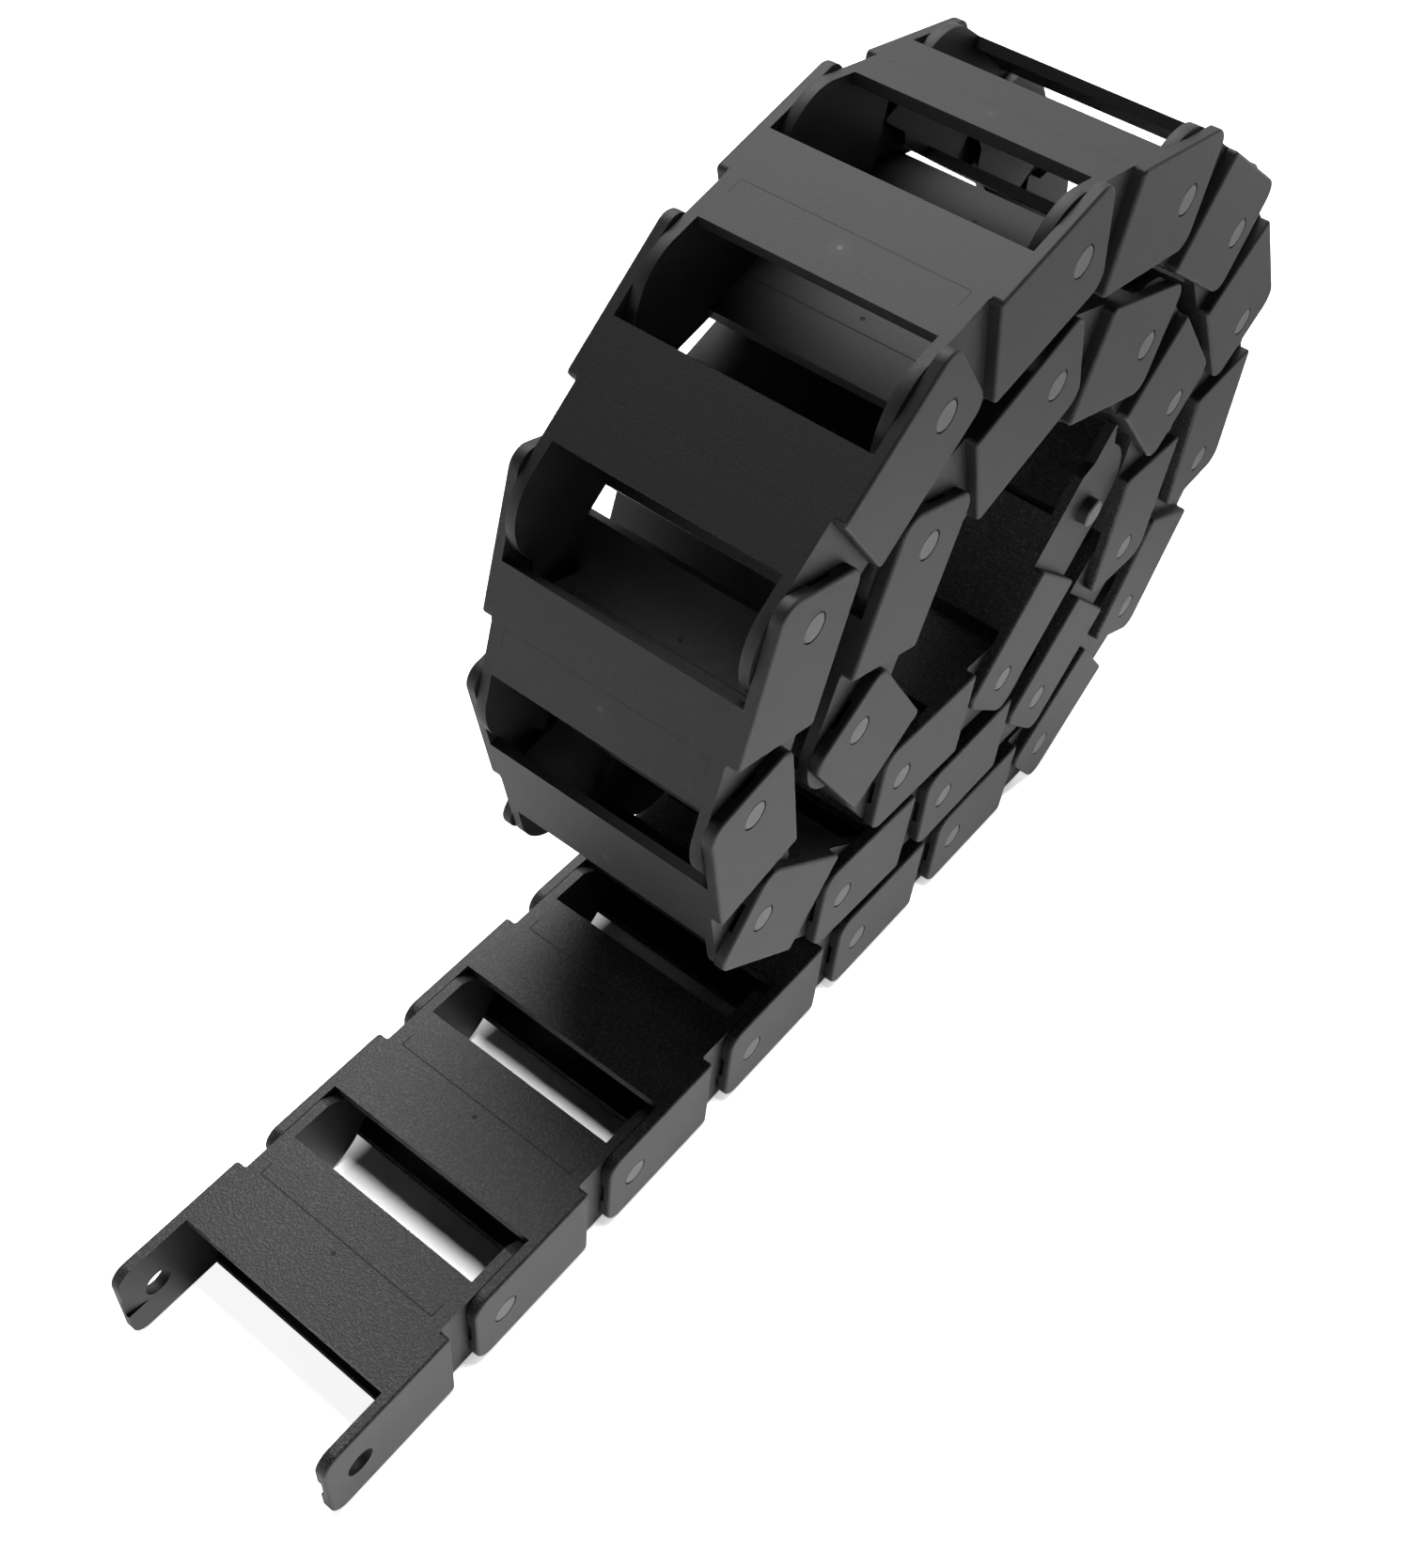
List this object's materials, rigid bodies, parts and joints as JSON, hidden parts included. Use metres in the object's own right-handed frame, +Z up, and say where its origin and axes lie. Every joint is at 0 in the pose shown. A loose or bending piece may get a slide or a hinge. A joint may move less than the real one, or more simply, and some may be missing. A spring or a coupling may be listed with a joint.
{
  "type": "cable drag chain",
  "caption": "Plastic cable drag chain of one-piece box links with side eyes, snap-in pins and stop teeth, lying with a flat tail and the rest wound into a coil.",
  "frame": {"origin": "middle of the eye axis at the free end of the tail, halfway between the side plates", "axes": "+X across the chain along the pins, +Y along the flat tail towards the coil, +Z up, away from the surface that the chain lies on"},
  "size_m": [0.048, 0.2542, 0.1561],
  "materials": {
    "link_plastic": "moulded glass-fibre-filled nylon, matte with a fine speckle on the crossbars and smoother side plates"
  },
  "bodies": {
    "link_01": {"link_01": "link_plastic"},
    "link_02": {"link_02": "link_plastic"},
    "link_03": {"link_03": "link_plastic"},
    "link_04": {"link_04": "link_plastic"},
    "link_05": {"link_05": "link_plastic"},
    "link_06": {"link_06": "link_plastic"},
    "link_07": {"link_07": "link_plastic"},
    "link_08": {"link_08": "link_plastic"},
    "link_09": {"link_09": "link_plastic"},
    "link_10": {"link_10": "link_plastic"},
    "link_11": {"link_11": "link_plastic"},
    "link_12": {"link_12": "link_plastic"},
    "link_13": {"link_13": "link_plastic"},
    "link_14": {"link_14": "link_plastic"},
    "link_15": {"link_15": "link_plastic"},
    "link_16": {"link_16": "link_plastic"},
    "link_17": {"link_17": "link_plastic"},
    "link_18": {"link_18": "link_plastic"},
    "link_19": {"link_19": "link_plastic"},
    "link_20": {"link_20": "link_plastic"},
    "link_21": {"link_21": "link_plastic"},
    "link_22": {"link_22": "link_plastic"},
    "link_23": {"link_23": "link_plastic"},
    "link_24": {"link_24": "link_plastic"},
    "link_25": {"link_25": "link_plastic"},
    "link_26": {"link_26": "link_plastic"},
    "link_27": {"link_27": "link_plastic"},
    "link_28": {"link_28": "link_plastic"}
  },
  "joints": [
    {"name": "pivot_06", "type": "hinge", "parent": "link_06", "child": "link_05", "pos_m": [0, 0.165, 0], "axis": [1, 0, 0], "range_deg": [-52.96, 0]},
    {"name": "pivot_05", "type": "hinge", "parent": "link_05", "child": "link_04", "pos_m": [0, 0.132, 0], "axis": [1, 0, 0], "range_deg": [-52.96, 0]},
    {"name": "pivot_04", "type": "hinge", "parent": "link_04", "child": "link_03", "pos_m": [0, 0.099, 0], "axis": [1, 0, 0], "range_deg": [-50, 0]},
    {"name": "pivot_03", "type": "hinge", "parent": "link_03", "child": "link_02", "pos_m": [0, 0.066, 0], "axis": [1, 0, 0], "range_deg": [-52.96, 0]},
    {"name": "pivot_02", "type": "hinge", "parent": "link_02", "child": "link_01", "pos_m": [0, 0.033, 0], "axis": [1, 0, 0], "range_deg": [-52.96, 0]},
    {"name": "pivot_07", "type": "hinge", "parent": "link_06", "child": "link_07", "pos_m": [0, 0.198, 0], "axis": [1, 0, 0], "range_deg": [-41, 0]},
    {"name": "pivot_08", "type": "hinge", "parent": "link_07", "child": "link_08", "pos_m": [0, 0.2229, 0.02165], "axis": [1, 0, 0], "range_deg": [-24, 28.96]},
    {"name": "pivot_09", "type": "hinge", "parent": "link_08", "child": "link_09", "pos_m": [0, 0.23685, 0.05156], "axis": [1, 0, 0], "range_deg": [-29, 23.96]},
    {"name": "pivot_10", "type": "hinge", "parent": "link_09", "child": "link_10", "pos_m": [0, 0.23455, 0.08448], "axis": [1, 0, 0], "range_deg": [-31, 21.96]},
    {"name": "pivot_11", "type": "hinge", "parent": "link_10", "child": "link_11", "pos_m": [0, 0.21562, 0.11151], "axis": [1, 0, 0], "range_deg": [-21, 0]},
    {"name": "pivot_12", "type": "hinge", "parent": "link_11", "child": "link_12", "pos_m": [0, 0.18826, 0.12996], "axis": [1, 0, 0], "range_deg": [-25, 0]},
    {"name": "pivot_13", "type": "hinge", "parent": "link_12", "child": "link_13", "pos_m": [0, 0.15567, 0.13512], "axis": [1, 0, 0], "range_deg": [-23, 29.96]},
    {"name": "pivot_14", "type": "hinge", "parent": "link_13", "child": "link_14", "pos_m": [0, 0.12365, 0.12714], "axis": [1, 0, 0], "range_deg": [-24, 28.96]},
    {"name": "pivot_15", "type": "hinge", "parent": "link_14", "child": "link_15", "pos_m": [0, 0.09765, 0.10683], "axis": [1, 0, 0], "range_deg": [-37, 15.96]},
    {"name": "pivot_16", "type": "hinge", "parent": "link_15", "child": "link_16", "pos_m": [0, 0.08911, 0.07495], "axis": [1, 0, 0], "range_deg": [-27, 25.96]},
    {"name": "pivot_17", "type": "hinge", "parent": "link_16", "child": "link_17", "pos_m": [0, 0.09597, 0.04267], "axis": [1, 0, 0], "range_deg": [-41, 11.96]},
    {"name": "pivot_18", "type": "hinge", "parent": "link_17", "child": "link_18", "pos_m": [0, 0.12232, 0.02281], "axis": [1, 0, 0], "range_deg": [-34, 18.96]},
    {"name": "pivot_19", "type": "hinge", "parent": "link_18", "child": "link_19", "pos_m": [0, 0.15528, 0.02108], "axis": [1, 0, 0], "range_deg": [-4, 48.96]},
    {"name": "pivot_20", "type": "hinge", "parent": "link_19", "child": "link_20", "pos_m": [0, 0.18827, 0.02166], "axis": [1, 0, 0], "range_deg": [-47, 5.96]},
    {"name": "pivot_21", "type": "hinge", "parent": "link_20", "child": "link_21", "pos_m": [0, 0.21035, 0.04618], "axis": [1, 0, 0], "range_deg": [-39, 13.96]},
    {"name": "pivot_22", "type": "hinge", "parent": "link_21", "child": "link_22", "pos_m": [0, 0.21208, 0.07914], "axis": [1, 0, 0], "range_deg": [-46, 6.96]},
    {"name": "pivot_23", "type": "hinge", "parent": "link_22", "child": "link_23", "pos_m": [0, 0.18957, 0.10327], "axis": [1, 0, 0], "range_deg": [-30, 22.96]},
    {"name": "pivot_24", "type": "hinge", "parent": "link_23", "child": "link_24", "pos_m": [0, 0.15801, 0.11292], "axis": [1, 0, 0], "range_deg": [-36, 16.96]},
    {"name": "pivot_25", "type": "hinge", "parent": "link_24", "child": "link_25", "pos_m": [0, 0.12681, 0.10218], "axis": [1, 0, 0], "range_deg": [-52.9, 0.06]},
    {"name": "pivot_26", "type": "hinge", "parent": "link_25", "child": "link_26", "pos_m": [0, 0.11656, 0.07081], "axis": [1, 0, 0], "range_deg": [-52.9, 0.06]},
    {"name": "pivot_27", "type": "hinge", "parent": "link_26", "child": "link_27", "pos_m": [0, 0.13539, 0.04371], "axis": [1, 0, 0], "range_deg": [-52.9, 0.06]},
    {"name": "pivot_28", "type": "hinge", "parent": "link_27", "child": "link_28", "pos_m": [0, 0.16837, 0.04239], "axis": [1, 0, 0], "range_deg": [-52.9, 0.06]}
  ],
  "couplings": [
    {"joint": "pivot_05", "follows": "pivot_07", "ratio": 1},
    {"joint": "pivot_06", "follows": "pivot_07", "ratio": 1},
    {"joint": "pivot_08", "follows": "pivot_07", "ratio": 0.58537},
    {"joint": "pivot_09", "follows": "pivot_07", "ratio": 0.70732},
    {"joint": "pivot_10", "follows": "pivot_07", "ratio": 0.7561},
    {"joint": "pivot_13", "follows": "pivot_07", "ratio": 0.22439},
    {"joint": "pivot_14", "follows": "pivot_07", "ratio": 0.23415},
    {"joint": "pivot_15", "follows": "pivot_07", "ratio": 0.36098},
    {"joint": "pivot_16", "follows": "pivot_07", "ratio": 0.26341},
    {"joint": "pivot_17", "follows": "pivot_07", "ratio": 0.4},
    {"joint": "pivot_18", "follows": "pivot_07", "ratio": 0.33171},
    {"joint": "pivot_19", "follows": "pivot_07", "ratio": 0.09756},
    {"joint": "pivot_20", "follows": "pivot_07", "ratio": 0.45854},
    {"joint": "pivot_21", "follows": "pivot_07", "ratio": 0.38049},
    {"joint": "pivot_22", "follows": "pivot_07", "ratio": 0.44878},
    {"joint": "pivot_23", "follows": "pivot_07", "ratio": 0.29268},
    {"joint": "pivot_24", "follows": "pivot_07", "ratio": 0.35122},
    {"joint": "pivot_25", "follows": "pivot_07", "ratio": 0.5161},
    {"joint": "pivot_26", "follows": "pivot_07", "ratio": 0.5161},
    {"joint": "pivot_27", "follows": "pivot_07", "ratio": 0.5161},
    {"joint": "pivot_28", "follows": "pivot_07", "ratio": 0.5161}
  ]
}
